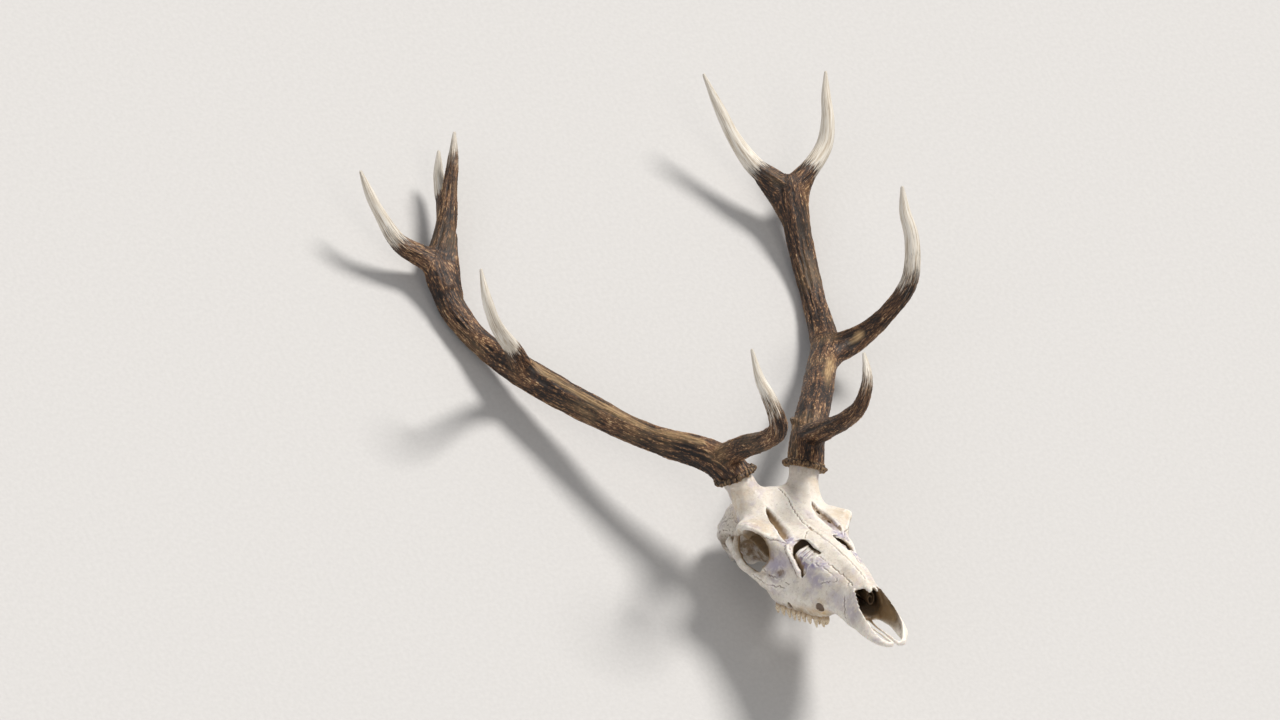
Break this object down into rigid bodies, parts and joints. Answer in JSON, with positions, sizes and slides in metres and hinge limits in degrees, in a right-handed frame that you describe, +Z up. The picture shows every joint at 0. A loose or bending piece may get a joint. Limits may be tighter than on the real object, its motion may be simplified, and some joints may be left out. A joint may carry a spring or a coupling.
{
  "type": "red deer skull with antlers",
  "caption": "Red deer stag's skull without the lower jaw, with both antlers, lying on the back of the head and the beams.",
  "frame": {"origin": "middle of the bounding box, on the surface that the skull rests on", "axes": "+Z up, -Y towards the nose, +X towards the animal's left side"},
  "size_m": [0.7554, 1.0568, 0.3523],
  "materials": {
    "bone": "dry, weathered ivory-white bone, matt with a faint grease sheen",
    "antler_dark": "dark brown, grooved and pearled, satin",
    "antler_tine": "brown at the foot, rubbed to polished ivory at the tip"
  },
  "bodies": {
    "root": {"frontal_bone": "bone", "braincase": "bone", "upper_jaw_left": "bone", "upper_jaw_right": "bone", "nasal_bone_left": "bone", "nasal_bone_right": "bone", "premaxilla_left": "bone", "premaxilla_right": "bone", "cheekbone_left": "bone", "cheekbone_right": "bone", "antler_left_lower_beam": "antler_dark", "antler_left_upper_beam": "antler_dark", "antler_left_brow_tine": "antler_tine", "antler_left_trez_tine": "antler_tine", "antler_left_outer_top_tine": "antler_tine", "antler_left_inner_top_tine": "antler_tine", "antler_right_lower_beam": "antler_dark", "antler_right_upper_beam": "antler_dark", "antler_right_brow_tine": "antler_tine", "antler_right_trez_tine": "antler_tine", "antler_right_outer_top_tine": "antler_tine", "antler_right_inner_top_tine": "antler_tine", "antler_right_back_top_tine": "antler_tine"}
  },
  "joints": []
}
